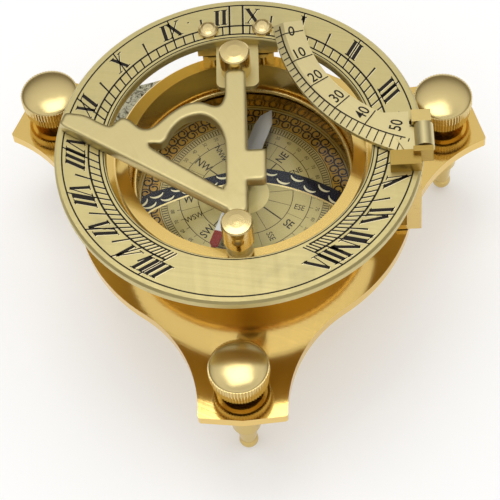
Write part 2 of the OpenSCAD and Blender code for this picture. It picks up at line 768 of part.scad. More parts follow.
// Ear that holds the pin's north end, riveted through the ring
ear_rivet_d = 1.6;
ear_depth = 3.1;
ear_n_y = arc_knuckle_n_y + side_gap + ear_depth;
ear_rivet_at = [ear_x + 1.2, ear_n_y - 1.2];
module arc_ear() {
    color(brass)
    difference() {
        union() {
            translate([ear_x, ear_n_y - ear_depth, ring_top])
                cube([ear_w, ear_depth, arc_pin_z - ring_top + 1.5]);
            translate([ear_rivet_at[0], ear_rivet_at[1], ring_z])
                cylinder(h = ring_t + over, d = ear_rivet_d);
        }
        pin_hole(ear_n_y, ear_depth);
    }
}

module arc_block_screws() {
    color(gold)
    for (x = block_screw_xs)
        translate([x, block_screw_y, ring_top + block_h])
            countersunk(block_screw_d, block_head_d, block_h + ring_t + (x > prop_x ? 3 : 0));
}

module arc_hinge_pin() {
    color(steel)
    translate([arc_pin_x, arc_knuckle_n_y + side_gap + ear_t, arc_pin_z])
        rotate([90, 0, 0])
            cylinder(h = arc_knuckle_w + 2 * side_gap + 2 * ear_t, d = arc_pin_d);
}

// Prop under the ring, held by a screw from above, that comes down to a foot just over the base plate
module ring_prop() {
    foot_z = plate_t + prop_lift;
    color(gold)
    difference() {
        union() {
            translate([prop_x, block_s_y, foot_z])
                cube([prop_w, prop_t, ring_z - foot_z]);
            translate([prop_foot_x, block_s_y, foot_z])
                cube([prop_x + prop_w - prop_foot_x, block_w, prop_foot_t]);
        }
        translate([block_screw_xs[1], block_screw_y, ring_z - 3])
            cylinder(h = 3 + over, d = block_screw_d);
    }
}

// Turned screw: stem through the plate, shouldered leg, hollow flare, tapered shank and ball
module levelling_screw(at) {
    leg_z = -leg_gap;
    flare_z = leg_z - 0.5 - leg_straight;
    shank_d = (leg_d + waist_d) / 2 - 0.4;
    flare_h = 1.8;
    ball_z = -stand_h + ball_d / 2;
    neck_dir = asin(waist_d / ball_d);
    neck_z = ball_z + ball_d / 2 * cos(neck_dir);
    flare_steps = 5;
    ball_steps = 10;
    color(gold)
    translate([at[0], at[1], 0])
        rotate_extrude()
            polygon(concat([[0, knob_z + knob_chin_h], [stem_d / 2, knob_z + knob_chin_h], [stem_d / 2, leg_z],
                            [leg_d / 2 - 0.4, leg_z], [leg_d / 2, leg_z - 0.4], [leg_d / 2, flare_z]],
                           [for (i = [1:flare_steps]) let (a = 90 * i / flare_steps)
                               [leg_d / 2 - (leg_d - shank_d) / 2 * sin(a), flare_z - flare_h * (1 - cos(a))]],
                           [for (i = [0:ball_steps]) let (a = neck_dir + (180 - neck_dir) * i / ball_steps)
                               [ball_d / 2 * sin(a), ball_z + ball_d / 2 * cos(a)]]));
}

module front_screw() { levelling_screw(front_at); }
module right_screw() { levelling_screw(right_at); }
module left_screw() { levelling_screw(left_at); }

// One row of the knurl: square notches around a disc
module fluted_row(r, z, h) {
    side = flute_depth * sqrt(2);
    difference() {
        translate([0, 0, z])
            cylinder(h = h, r = r, $fn = 72);
        for (i = [0:flute_count - 1])
            rotate(i * 360 / flute_count)
                translate([r, 0, z - over])
                    rotate(45)
                        translate([-side / 2, -side / 2, 0])
                            cube([side, side, h + 2 * over]);
    }
}

// Turned knob: plain chin, two knurled rows with a groove between them and a spun dome
lower_row_step = 0.4;
knob_groove = 0.35;
module knob(at) {
    r = knob_d / 2;
    low_r = r - lower_row_step;
    row_h = (knurl_h - knob_groove) / 2;
    band_z = knob_z + knob_chin_h;
    upper_z = band_z + row_h + knob_groove;
    top_z = band_z + knurl_h;
    color(brass)
    translate([at[0], at[1], 0])
        difference() {
            union() {
                fluted_row(low_r, band_z, row_h);
                fluted_row(r, upper_z, row_h - 0.2);
                rotate_extrude($fn = 72)
                    polygon([[0, knob_z], [low_r - 1.4, knob_z], [low_r - 0.7, band_z], [low_r - 0.7, top_z - 0.2],
                             [r - flute_depth - 0.12, top_z - 0.2], [r - flute_depth - 0.27, top_z - 0.05],
                             [r * 0.6, top_z + knob_dome_h * 0.7], [r * 0.3, top_z + knob_dome_h * 0.93],
                             [0, top_z + knob_dome_h]]);
            }
            translate([0, 0, knob_z - over])
                cylinder(h = knob_chin_h + over, d = stem_d + 2 * running_fit);
        }
}

module front_knob() { knob(front_at); }
module right_knob() { knob(right_at); }
module left_knob() { knob(left_at); }

base_plate();
compass_bowl();
compass_card();
needle_pivot();
glass_cover();
glass_retainer();
hinge_bracket();
hinge_bracket_screws();
hinge_pin();
needle_blade();
needle_cap();
hour_ring();
ring_hinge_leaf();
ring_leaf_rivets();
gnomon_bridge();
north_post();
south_post();
gnomon_pivots();
arc_block();
arc_ear();
arc_block_screws();
arc_hinge_pin();
ring_prop();
gnomon();
latitude_arc();
front_screw();
front_knob();
right_screw();
right_knob();
left_screw();
left_knob();
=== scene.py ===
"""Looks of a brass sundial compass: lobed base on levelling screws, glazed compass bowl, hinged hour
ring with gnomon and latitude arc."""
import bpy
import numpy as np
from mathutils import Matrix, Vector


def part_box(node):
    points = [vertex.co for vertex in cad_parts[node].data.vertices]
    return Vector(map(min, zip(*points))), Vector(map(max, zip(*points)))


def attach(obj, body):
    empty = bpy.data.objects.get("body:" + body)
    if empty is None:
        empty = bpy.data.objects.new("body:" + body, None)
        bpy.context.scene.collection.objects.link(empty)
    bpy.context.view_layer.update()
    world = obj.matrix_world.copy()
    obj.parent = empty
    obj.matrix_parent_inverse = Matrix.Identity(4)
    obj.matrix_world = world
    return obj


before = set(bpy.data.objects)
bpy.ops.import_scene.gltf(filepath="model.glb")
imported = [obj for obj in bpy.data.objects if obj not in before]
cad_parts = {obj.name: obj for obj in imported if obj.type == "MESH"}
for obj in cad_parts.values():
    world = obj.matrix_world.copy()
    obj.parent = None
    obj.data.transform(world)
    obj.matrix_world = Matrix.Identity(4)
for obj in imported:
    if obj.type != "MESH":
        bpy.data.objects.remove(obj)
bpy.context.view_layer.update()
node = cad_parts
MM = 0.001


# Camera of the photograph: a long lens, 57 degrees above the table and a little east of south,
# leaning by 7 degrees. Its place was fitted to the outlines of the ring, the lobes and the knobs.
def put(name, data):
    """The data, such as a mesh or a lamp, as an object of the scene, at the origin."""
    made = bpy.data.objects.new(name, data)
    bpy.context.scene.collection.objects.link(made)
    return made


aim = np.array([2.1264, -29.841, 25.2])
turn, rise, lean, distance = 0.0884168, 1.0034011, -0.1238155, 423.273
film_width, focal_length, nearest = 36, 146.187, 0.01
away = np.array([np.sin(turn) * np.cos(rise), -np.cos(turn) * np.cos(rise), np.sin(rise)])
level = np.cross(-away, [0, 0, 1])
level /= np.linalg.norm(level)
upright = np.cross(level, -away)
side = np.cos(lean) * level + np.sin(lean) * upright
top = -np.sin(lean) * level + np.cos(lean) * upright
eye = (aim + distance * away) * MM
photographer = put("photographer", bpy.data.cameras.new("photographer"))
photographer.data.sensor_width = film_width
photographer.data.lens = focal_length
photographer.data.clip_start = nearest
photographer.matrix_world = Matrix([[side[i], top[i], away[i], eye[i]] for i in range(3)] + [[0, 0, 0, 1]])
bpy.context.scene.camera = photographer
bpy.context.scene.view_settings.view_transform = "Standard"


# White table top under the balls of the three levelling screws. It is painted board, so it is
# matt. It shows itself a little whiter to the camera, metal and glass, but keeps the shadow.
def add(tree, kind, **values):
    """A shader node of that kind. A value is a setting of the node, or else goes to the socket of that name,
    and i with a number is the socket of that number."""
    made = tree.nodes.new("ShaderNode" + kind)
    for key, value in values.items():
        if hasattr(made, key):
            setattr(made, key, value)
        else:
            made.inputs[int(key[1:]) if key[1:].isdigit() else key.replace("_", " ")].default_value = value
    return made


def wire(tree, *pairs):
    """Joins sockets of the tree: each pair is an output and the input that it feeds."""
    for source, target in pairs:
        tree.links.new(source, target)


table_gap = 0.00004
table_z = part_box("front_screw")[0][2] - table_gap
reach, own_white = 2.5, 0.2
corners = [(-reach, -reach), (reach, -reach), (reach, reach), (-reach, reach)]
board = bpy.data.meshes.new("table_top")
board.from_pydata([(x, y, table_z) for x, y in corners], [], [(0, 1, 2, 3)])
table_top = put("table_top", board)
paint = bpy.data.materials.new("white_board")
paint.use_nodes = True
tree = paint.node_tree
tree.nodes.clear()
seen = add(tree, "LightPath")
direct_or_metal = add(tree, "Math", operation="MAXIMUM")
any_seen = add(tree, "Math", operation="MAXIMUM")
share = add(tree, "Math", operation="MULTIPLY", i1=own_white)
matt = add(tree, "BsdfDiffuse", Color=(0.93, 0.93, 0.935, 1))
glow = add(tree, "Emission", Color=(1, 1, 1, 1), Strength=1.0)
both = add(tree, "MixShader")
done = add(tree, "OutputMaterial")
wire(tree,
     (seen.outputs["Is Camera Ray"], direct_or_metal.inputs[0]),
     (seen.outputs["Is Glossy Ray"], direct_or_metal.inputs[1]),
     (direct_or_metal.outputs[0], any_seen.inputs[0]),
     (seen.outputs["Is Transmission Ray"], any_seen.inputs[1]),
     (any_seen.outputs[0], share.inputs[0]),
     (share.outputs[0], both.inputs[0]),
     (matt.outputs[0], both.inputs[1]),
     (glow.outputs[0], both.inputs[2]),
     (both.outputs[0], done.inputs["Surface"]))
board.materials.append(paint)

# Light of a small photo tent: a soft box overhead, a little north of the object, and the tent's
# cloth all round, bright overhead and darker low down, which is what polished brass mirrors.
box_place, box_size, box_watts = Vector((-0.03, 0.12, 0.65)), 0.32, 0.72
lamp = bpy.data.lights.new("soft_box", "AREA")
lamp.shape = "SQUARE"
lamp.size = box_size
lamp.energy = box_watts
lamp.color = (1.0, 0.985, 0.95)
soft_box = put("soft_box", lamp)
soft_box.location = box_place
soft_box.rotation_euler = (-box_place).to_track_quat("-Z", "Y").to_euler()
tent = bpy.data.worlds.new("tent")
bpy.context.scene.world = tent
tent.use_nodes = True
tree = tent.node_tree
tree.nodes.clear()
where = add(tree, "TexCoord")
parts = add(tree, "SeparateXYZ")
mirrored = add(tree, "ValToRGB")
cloth = mirrored.color_ramp.elements
cloth[0].color, cloth[1].color = (0.75, 0.73, 0.70, 1), (0.62, 0.62, 0.61, 1)
for height, shade in ((0.03, (0.50, 0.47, 0.42, 1)), (0.16, (0.17, 0.145, 0.11, 1)), (0.42, (0.24, 0.215, 0.18, 1)),
                      (0.64, (0.62, 0.61, 0.59, 1)), (0.84, (0.86, 0.86, 0.85, 1))):
    cloth.new(height).color = shade
lit = add(tree, "Background", Color=(1.0, 0.995, 0.985, 1), Strength=1.0)
shown = add(tree, "Background", Strength=1.0)
white = add(tree, "Background", Color=(1, 1, 1, 1), Strength=1.0)
seen = add(tree, "LightPath")
metal_or_glass = add(tree, "Math", operation="MAXIMUM")
first = add(tree, "MixShader")
second = add(tree, "MixShader")
done = add(tree, "OutputWorld")
wire(tree,
     (where.outputs["Generated"], parts.inputs[0]),
     (parts.outputs["Z"], mirrored.inputs[0]),
     (mirrored.outputs[0], shown.inputs["Color"]),
     (seen.outputs["Is Glossy Ray"], metal_or_glass.inputs[0]),
     (seen.outputs["Is Transmission Ray"], metal_or_glass.inputs[1]),
     (metal_or_glass.outputs[0], first.inputs[0]),
     (lit.outputs[0], first.inputs[1]),
     (shown.outputs[0], first.inputs[2]),
     (seen.outputs["Is Camera Ray"], second.inputs[0]),
     (first.outputs[0], second.inputs[1]),
     (white.outputs[0], second.inputs[2]),
     (second.outputs[0], done.inputs["Surface"]))


# Base plate: three-lobed plate of rolled brass, sawn out by hand and buffed to a mirror. Buffing
# leaves fine scuffs in all directions, and lacquer has let a brown bloom through in patches. On
# the north-west lobe, close to the bowl, a spot that the wheel missed is still grey and scratched.
def shader_group(name, inputs, output):
    """An empty shader group with those inputs, each a name, a kind and its usual value, and one number out."""
    group = bpy.data.node_groups.new(name, "ShaderNodeTree")
    for label, kind, value in inputs:
        socket = group.interface.new_socket(label, in_out="INPUT", socket_type="NodeSocket" + kind)
        if value is not None:
            socket.default_value = value
    group.interface.new_socket(output, in_out="OUTPUT", socket_type="NodeSocketFloat")
    return group, group.nodes.new("NodeGroupInput"), group.nodes.new("NodeGroupOutput")


bloom, given, gives = shader_group(
    "tarnish_bloom", [("Vector", "Vector", None), ("Scale", "Float", 60.0), ("Cover", "Float", 0.4)], "Mask")
cloud = add(bloom, "TexNoise", Detail=6.0, Roughness=0.62, Distortion=0.3)
edge = add(bloom, "Math", operation="SUBTRACT", i0=1.02)
cut = add(bloom, "MapRange", interpolation_type="SMOOTHSTEP", i2=0.95)
wire(bloom,
     (given.outputs["Vector"], cloud.inputs["Vector"]),
     (given.outputs["Scale"], cloud.inputs["Scale"]),
     (given.outputs["Cover"], edge.inputs[1]),
     (cloud.outputs[0], cut.inputs[0]),
     (edge.outputs[0], cut.inputs[1]),
     (cut.outputs[0], gives.inputs["Mask"]))

scuffs, given, gives = shader_group(
    "fine_scuffs", [("Vector", "Vector", None), ("Scale", "Float", 900.0), ("Turn", "Float", 0.0)], "Height")
turned = add(scuffs, "VectorRotate", rotation_type="Z_AXIS")
drawn = add(scuffs, "VectorMath", operation="MULTIPLY", i1=(0.03, 1, 1))
grain = add(scuffs, "TexNoise", Detail=3.0, Roughness=0.6)
wire(scuffs,
     (given.outputs["Vector"], turned.inputs["Vector"]),
     (given.outputs["Turn"], turned.inputs["Angle"]),
     (turned.outputs[0], drawn.inputs[0]),
     (drawn.outputs[0], grain.inputs["Vector"]),
     (given.outputs["Scale"], grain.inputs["Scale"]),
     (grain.outputs[0], gives.inputs["Height"]))


def place_group(tree, group, **values):
    """The group as a node of this material, with these values on its sockets."""
    made = tree.nodes.new("ShaderNodeGroup")
    made.node_tree = group
    for key, value in values.items():
        made.inputs[key].default_value = value
    return made


def new_finish(name):
    """A new material, its tree and its shader."""
    finish = bpy.data.materials.new(name)
    finish.use_nodes = True
    return finish, finish.node_tree, finish.node_tree.nodes["Principled BSDF"]


def brass(name, clean, brown, smooth, dull, scale=55.0, cover=0.42, scuff=0.12, turn_by=0.5, depth=0.00002,
          centre=None, soft=0.0, rings=2200.0):
    """Brass finish: clean metal with brown bloom over it, duller where the bloom is, and scuffed across two
    directions. With a centre the second set of scuffs are lathe rings round it. Soft is the radius of worn
    edges in millimetres."""
    fine_marks, coarse_marks, crossing = 1500.0, 700.0, 1.3
    finish, tree, metal = new_finish(name)
    metal.inputs["Metallic"].default_value = 1.0
    where = add(tree, "TexCoord")
    bloomed = place_group(tree, bloom, Scale=scale, Cover=cover)
    fine = place_group(tree, scuffs, Scale=fine_marks, Turn=turn_by)
    tint = add(tree, "Mix", data_type="RGBA", i6=clean + (1,), i7=brown + (1,))
    rough = add(tree, "Mix", data_type="FLOAT", i2=smooth, i3=dull)
    worn = add(tree, "Math", operation="MULTIPLY_ADD", i1=scuff)
    total = add(tree, "Math", operation="ADD")
    bump = add(tree, "Bump", Strength=0.35, Distance=depth)
    wire(tree,
         (where.outputs["Object"], bloomed.inputs["Vector"]),
         (where.outputs["Object"], fine.inputs["Vector"]),
         (bloomed.outputs["Mask"], tint.inputs[0]),
         (bloomed.outputs["Mask"], rough.inputs[0]),
         (tint.outputs[2], metal.inputs["Base Color"]))
    if centre is None:
        across = place_group(tree, scuffs, Scale=coarse_marks, Turn=turn_by + crossing)
        wire(tree, (where.outputs["Object"], across.inputs["Vector"]))
    else:
        across = place_group(tree, scuffs, Scale=rings, Turn=0.0)
        apart = add(tree, "VectorMath", operation="SUBTRACT", i1=(centre[0] * MM, centre[1] * MM, 0))
        flat = add(tree, "VectorMath", operation="MULTIPLY", i1=(1, 1, 0))
        far = add(tree, "VectorMath", operation="LENGTH")
        ring = add(tree, "CombineXYZ")
        wire(tree,
             (where.outputs["Object"], apart.inputs[0]),
             (apart.outputs[0], flat.inputs[0]),
             (flat.outputs[0], far.inputs[0]),
             (far.outputs["Value"], ring.inputs["Y"]),
             (ring.outputs[0], across.inputs["Vector"]))
    wire(tree,
         (fine.outputs[0], total.inputs[0]),
         (across.outputs[0], total.inputs[1]),
         (total.outputs[0], worn.inputs[0]),
         (rough.outputs[0], worn.inputs[2]),
         (worn.outputs[0], metal.inputs["Roughness"]),
         (total.outputs[0], bump.inputs["Height"]),
         (bump.outputs[0], metal.inputs["Normal"]))
    if soft:
        worn_edge = add(tree, "Bevel", samples=8, Radius=soft * MM)
        wire(tree, (worn_edge.outputs[0], bump.inputs["Normal"]))
    return finish


def finish_nodes(finish, *names):
    """Gives the finish to CAD nodes."""
    for name in names:
        for slot in node[name].material_slots:
            slot.material = finish


spot_middle, spot_edge, spot_core, spot_rough = (-0.0262, 0.0262, 0.0024), 0.0105, 0.0075, 0.46
plate_brass = brass("buffed_plate", (0.80, 0.56, 0.18), (0.42, 0.25, 0.07), 0.06, 0.22, scale=48.0, cover=0.40,
                    scuff=0.04)
tree = plate_brass.node_tree
metal = tree.nodes["Principled BSDF"]
where = add(tree, "TexCoord")
apart = add(tree, "VectorMath", operation="SUBTRACT", i1=spot_middle)
far = add(tree, "VectorMath", operation="LENGTH")
missed = add(tree, "MapRange", interpolation_type="SMOOTHSTEP", i1=spot_edge, i2=spot_core)
scratched = add(tree, "TexNoise", Scale=620.0, Detail=3.0, Roughness=0.7, Distortion=2.2)
marks = add(tree, "ValToRGB")
dark_mark, pale_mark = marks.color_ramp.elements
dark_mark.position, dark_mark.color = 0.38, (0.09, 0.08, 0.05, 1)
pale_mark.position, pale_mark.color = 0.56, (0.52, 0.50, 0.36, 1)
dulled = add(tree, "Mix", data_type="RGBA")
rougher = add(tree, "Mix", data_type="FLOAT", i3=spot_rough)
wire(tree,
     (where.outputs["Object"], apart.inputs[0]),
     (apart.outputs[0], far.inputs[0]),
     (far.outputs["Value"], missed.inputs[0]),
     (where.outputs["Object"], scratched.inputs["Vector"]),
     (scratched.outputs[0], marks.inputs[0]),
     (missed.outputs[0], dulled.inputs[0]),
     (metal.inputs["Base Color"].links[0].from_socket, dulled.inputs[6]),
     (marks.outputs[0], dulled.inputs[7]),
     (missed.outputs[0], rougher.inputs[0]),
     (metal.inputs["Roughness"].links[0].from_socket, rougher.inputs[2]))
wire(tree, (dulled.outputs[2], metal.inputs["Base Color"]), (rougher.outputs[0], metal.inputs["Roughness"]))
finish_nodes(plate_brass, "base_plate")

# Compass bowl: a turned brass tube, dipped and buffed like the plate, with the marks of the
# lathe round it. Its spigot is soldered into the plate's recess.
turned_bowl = brass("turned_bowl", (0.82, 0.58, 0.19), (0.45, 0.27, 0.07), 0.10, 0.26, scale=70.0, cover=0.38,
                    scuff=0.06, centre=(0, 0))
finish_nodes(turned_bowl, "compass_bowl")

# Compass card: sheet brass, satin, etched and filled with black. From outside in it has a border
# of scrolls, a degree scale, numbers, the sixteen points between two circles, and a rose.
card_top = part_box("compass_card")[1][2] / MM
card_sheet = brass("card_sheet", (0.50, 0.415, 0.18), (0.46, 0.26, 0.045), 0.36, 0.42, scale=75.0, cover=0.44,
                   scuff=0.08)
finish_nodes(card_sheet, "compass_card")


def strips(paths, widths):
    """Flat strips along many paths of one length. paths is (k, n, 2) and widths (k, n), in millimetres: each
    point gives two corners, half a width to either side along the normal of the path there."""
    paths = np.asarray(paths, float)
    widths = np.broadcast_to(np.asarray(widths, float), paths.shape[:2])
    along = np.gradient(paths, axis=1)
    along /= np.maximum(np.linalg.norm(along, axis=2, keepdims=True), 1e-9)
    across = np.stack([-along[..., 1], along[..., 0]], 2) * widths[..., None] / 2
    corners = np.stack([paths - across, paths + across], 2)
    k, n = paths.shape[:2]
    at = np.arange(k * n * 2).reshape(k, n, 2)
    faces = np.stack([at[:, :-1, 0], at[:, 1:, 0], at[:, 1:, 1], at[:, :-1, 1]], 2).reshape(-1, 4)
    return corners.reshape(-1, 2), faces


def circle(r, begin, end, steps):
    """Points of a circle's arc from one direction to another, in degrees counted from east."""
    t = np.radians(np.linspace(begin, end, steps))
    return np.stack([r * np.cos(t), r * np.sin(t)], 1)[None]


def spokes(degrees, inner, outer, widths):
    """Straight strips from the inner to the outer radius, in directions counted in degrees from east."""
    way = np.radians(degrees)
    out = np.stack([np.cos(way), np.sin(way)], 1)
    return strips(np.stack([out * inner, out * outer], 1), widths)


def inlay(name, body, shapes, height, finishes):
    """Filled engraving as one thin piece on a surface: shapes are (corners, faces, lift, finish number), and
    height gives the surface's height at each corner, in millimetres."""
    corners, faces, numbers, start = [], [], [], 0
    for xy, own_faces, lift, number in shapes:
        corners.append(np.column_stack([xy, height(xy) + lift]) * MM)
        faces += (own_faces + start).tolist()
        numbers.append(np.full(len(own_faces), number))
        start += len(xy)
    mesh = bpy.data.meshes.new(name)
    mesh.from_pydata(np.concatenate(corners), [], faces)
    for finish in finishes:
        mesh.materials.append(finish)
    mesh.polygons.foreach_set("material_index", np.concatenate(numbers).astype(np.int32))
    mesh.update()
    piece = put(name, mesh)
    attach(piece, body)
    return piece


def filling(name, colour, rough, speck):
    """Hard wax in an engraved line: dark, a little glossy, paler and matt in specks where it has worn."""
    wax, tree, shader = new_finish(name)
    where = add(tree, "TexCoord")
    worn = place_group(tree, bloom, Scale=420.0, Cover=0.46)
    tint = add(tree, "Mix", data_type="RGBA", i6=colour + (1,), i7=speck + (1,))
    gloss = add(tree, "Mix", data_type="FLOAT", i2=rough, i3=0.7)
    shader.inputs["Specular IOR Level"].default_value = 0.18
    wire(tree,
         (where.outputs["Object"], worn.inputs["Vector"]),
         (worn.outputs[0], tint.inputs[0]),
         (worn.outputs[0], gloss.inputs[0]),
         (tint.outputs[2], shader.inputs["Base Color"]),
         (gloss.outputs[0], shader.inputs["Roughness"]))
    return wax


def lettering(words, size, bold, places, turns, narrow):
    """Words as flat outlines: each is filled by Blender's own font, then turned and set in place as numbers.
    A point (u, v) of a word goes to place + u * (cos, sin) + v * (-sin, cos)."""
    found, shapes = {}, []
    for word in sorted(set(words)):
        letters = bpy.data.curves.new("word", "FONT")
        letters.body, letters.size, letters.offset, letters.resolution_u = word, size, bold * size, 3
        letters.align_x, letters.align_y = "CENTER", "CENTER"
        flat = put("word", letters)
        bpy.context.view_layer.update()
        mesh = bpy.data.meshes.new_from_object(flat.evaluated_get(bpy.context.evaluated_depsgraph_get()))
        mesh.calc_loop_triangles()
        uv = np.zeros(len(mesh.vertices) * 3)
        mesh.vertices.foreach_get("co", uv)
        faces = np.zeros(len(mesh.loop_triangles) * 3, np.int32)
        mesh.loop_triangles.foreach_get("vertices", faces)
        found[word] = uv.reshape(-1, 3)[:, :2] * (narrow, 1), faces.reshape(-1, 3)
        bpy.data.objects.remove(flat)
        bpy.data.curves.remove(letters)
        bpy.data.meshes.remove(mesh)
    for word, place, turned in zip(words, places, turns):
        uv, faces = found[word]
        c, s = np.cos(turned), np.sin(turned)
        corners = [place[0] + uv[:, 0] * c - uv[:, 1] * s, place[1] + uv[:, 0] * s + uv[:, 1] * c]
        shapes.append((np.column_stack(corners), faces))
    return shapes


def level_card(xy):
    """The card is flat."""
    return np.full(len(xy), card_top)


# Lines of the card, in millimetres from its middle. Its north lies 2.8 degrees west of the ring's.
card_turn = 2.8
black = filling("black_filling", (0.016, 0.012, 0.009), 0.5, (0.07, 0.05, 0.03))
thin = filling("thin_print", (0.045, 0.032, 0.014), 0.5, (0.14, 0.10, 0.045))
rose_edge, points_edge, numbers_edge, scale_edge, border_line, rim_circle = 10.8, 15.0, 17.9, 19.3, 19.7, 23.6
card_circles = ((rose_edge, 0.17), (points_edge, 0.17), (numbers_edge, 0.12), (scale_edge, 0.12),
                (border_line, 0.16), (rim_circle, 0.2))
rose_widths = np.where(np.arange(16) % 4 == 2, 0.34, 0.12)[:, None] * [1, 0.8]
print_lines = [strips(circle(r, 0, 360, 181), width) for r, width in card_circles]
print_lines += [spokes(np.arange(0, 360, 2.0) + card_turn, 18.0, 19.2, 0.22),
                spokes(np.arange(0, 360, 10.0) + card_turn, points_edge, 15.9, 0.12),
                spokes(np.arange(0, 360, 22.5) + card_turn, 5.5, rose_edge, rose_widths),
                spokes(np.arange(0, 360, 45) + 11.25 + card_turn, rose_edge, points_edge, 0.08)]

# Border of the card: two rows of scrolls on an amber ground. A scroll is a spiral of 1.3 turns,
# whose radius shrinks to 0.38 of its size, and the two rows curl opposite ways.
count, curl, scroll_size = 46, 1.3, 1.28
t = np.linspace(0, 1, 22)
scroll_widths = 0.24 + 0.16 * np.sin(np.pi * t) + 0.22 * (t > 0.9)
scrolls = []
for row_r, begin, hand in ((20.95, 0.0, 1.0), (22.75, 0.5, -1.0)):
    around = np.radians((np.arange(count) + begin) * 360 / count)[:, None]
    swing = around + np.pi * (hand > 0) + hand * (0.9 + t * 2 * np.pi * curl)
    radius = scroll_size * (1 - 0.62 * t ** 1.2)
    scroll = [row_r * np.cos(around) + radius * np.cos(swing), row_r * np.sin(around) + radius * np.sin(swing)]
    scrolls.append(strips(np.stack(scroll, 2), scroll_widths))
border_in, border_out, border_steps = 19.75, 23.7, 181
at = np.arange(border_steps - 1)
ground = (np.concatenate([circle(r, 0, 360, border_steps)[0] for r in (border_in, border_out)]),
          np.stack([at, at + 1, at + border_steps + 1, at + border_steps], 1))
amber = brass("amber_ground", (0.50, 0.30, 0.055), (0.24, 0.13, 0.03), 0.30, 0.42, scale=110.0, cover=0.46)

# Words of the card: the points read along the radius, outward on the east half and inward on the
# west, and the numbers count from 0 at north and south to 90 at east and west.
points = ["N", "NNE", "NE", "ENE", "E", "ESE", "SE", "SSE", "S", "SSW", "SW", "WSW", "W", "WNW", "NW", "NNW"]
points_r, numbers_r = 12.85, 16.85
bearing = np.radians(90 - np.arange(16) * 22.5 + card_turn)
spots = np.stack([points_r * np.cos(bearing), points_r * np.sin(bearing)], 1)
reading = bearing + np.pi * (np.arange(16) > 8)
words = []
for pick, size in ((slice(0, 16, 4), 2.9), (slice(2, 16, 4), 2.8)):
    words += lettering(points[pick], size, 0.012, spots[pick], reading[pick], 0.82)
words += lettering(points[1::2], 2.0, 0.006, spots[1::2], reading[1::2], 0.85)
degrees = np.arange(0, 360, 10)
bearing = np.radians(90 - degrees + card_turn)
spots = np.stack([numbers_r * np.cos(bearing), numbers_r * np.sin(bearing)], 1)
counted = [str(min(d % 180, 180 - d % 180)) for d in degrees]
words += lettering(counted, 1.25, 0.0, spots, bearing - np.pi / 2, 0.85)
print_lift, ground_lift = 0.02, 0.01
print_shapes = [(xy, f, print_lift, 0) for xy, f in print_lines] + [(*ground, ground_lift, 1)]
print_shapes += [(xy, f, print_lift, 2) for xy, f in scrolls]
card_print = inlay("card_print", "base", print_shapes, level_card, [thin, amber, black])
card_words = inlay("card_words", "base", [(xy, f, print_lift, 0) for xy, f in words], level_card, [black])

# Band across the card, where the glass mirrors the hour ring: a shallow arc from west to east, dark
# blue as painted reflection of the ring's shaded underside, with two rows of pale crescents left in it
# like waves, and a bright brass rib along its southern edge, a painted reflection of the ring's lit inner wall.
north_edge = np.array([(-23.9, -1.2), (-21.3, 1.4), (-17.6, 2.9), (-12.0, 4.6), (-5.0, 6.0), (0.0, 6.5), (4.8, 6.4),
                       (11.6, 5.1), (18.7, 1.5), (23.4, -2.4), (24.0, -3.0)])
south_edge = np.array([(-23.4, -5.5), (-20.6, -3.0), (-17.6, -1.0), (-12.6, 0.9), (-6.0, 2.5), (-1.0, 3.1),
                       (3.6, 2.9), (11.5, 0.8), (16.8, -2.0), (21.4, -5.5), (22.4, -6.6)])
band_steps, crescent_steps = 61, 14
step = np.linspace(0, 1, band_steps)
knots = np.linspace(0, 1, len(north_edge))


def eased(line):
    """A smooth run through the points of a line: each coordinate is a polynomial of the fifth order."""
    return np.stack([np.polyval(np.polyfit(knots, line[:, i], 5), step) for i in range(2)], 1)


def along_band(shares, values):
    """Values that are given at the steps of the band, at other shares of its length."""
    return np.stack([np.interp(shares, step[:len(values)], values[:, i]) for i in range(2)], 1)


upper, lower = eased(north_edge), eased(south_edge)
at = np.arange(2 * band_steps).reshape(band_steps, 2)
band_faces = np.stack([at[:-1, 0], at[1:, 0], at[1:, 1], at[:-1, 1]], 1)
# Dark band and bright rib: painted reflection of the hour ring's shaded underside and lit inner wall.
dark_reflection_band = (np.stack([lower, upper], 1).reshape(-1, 2), band_faces)
wall_reflection_strip = strips((lower + [0.0, -0.15])[None], 0.45)
crescent_gap, crescent_long, crescent_deep = 0.094, 1.6, 1.05
sweep = np.radians(np.linspace(195, 345, crescent_steps))
crescent_widths = 0.14 + 0.40 * np.sin(np.linspace(0, np.pi, crescent_steps))
crescents = []
for across, begin in ((0.70, 0.045), (0.28, 0.095)):
    spots = np.arange(begin, 0.98, crescent_gap)
    mid = along_band(spots, lower * (1 - across) + upper * across)
    slope = along_band(spots, np.diff(lower, axis=0))
    tilt = np.arctan2(slope[:, 1], slope[:, 0])[:, None] - 0.12
    u, v = crescent_long * np.cos(sweep)[None], crescent_deep * np.sin(sweep)[None] + 0.62
    path = [mid[:, :1] + u * np.cos(tilt) - v * np.sin(tilt), mid[:, 1:] + u * np.sin(tilt) + v * np.cos(tilt)]
    crescents.append(strips(np.stack(path, 2), crescent_widths))
# The band's dark blue is painted reflection of the ring's underside in shade.
painted_dark_reflection = filling("painted_underside_reflection", (0.008, 0.010, 0.028), 0.3, (0.012, 0.014, 0.034))
pale = brass("pale_crescents", (0.80, 0.74, 0.50), (0.62, 0.54, 0.30), 0.32, 0.42)
# The rib's bright brass is painted reflection of the ring's lit inner wall.
painted_wall_reflection = brass("painted_inner_wall_reflection", (0.95, 0.78, 0.38), (0.80, 0.60, 0.25), 0.12, 0.22)
dark_reflection_lift, crescent_lift, wall_reflection_lift = 0.03, 0.045, 0.05
band_shapes = [(*dark_reflection_band, dark_reflection_lift, 0), (*wall_reflection_strip, wall_reflection_lift, 2)] + [(xy, f, crescent_lift, 1) for xy, f in crescents]
ring_reflection_band = inlay("ring_reflection_band", "base", band_shapes, level_card, [painted_dark_reflection, pale, painted_wall_reflection])


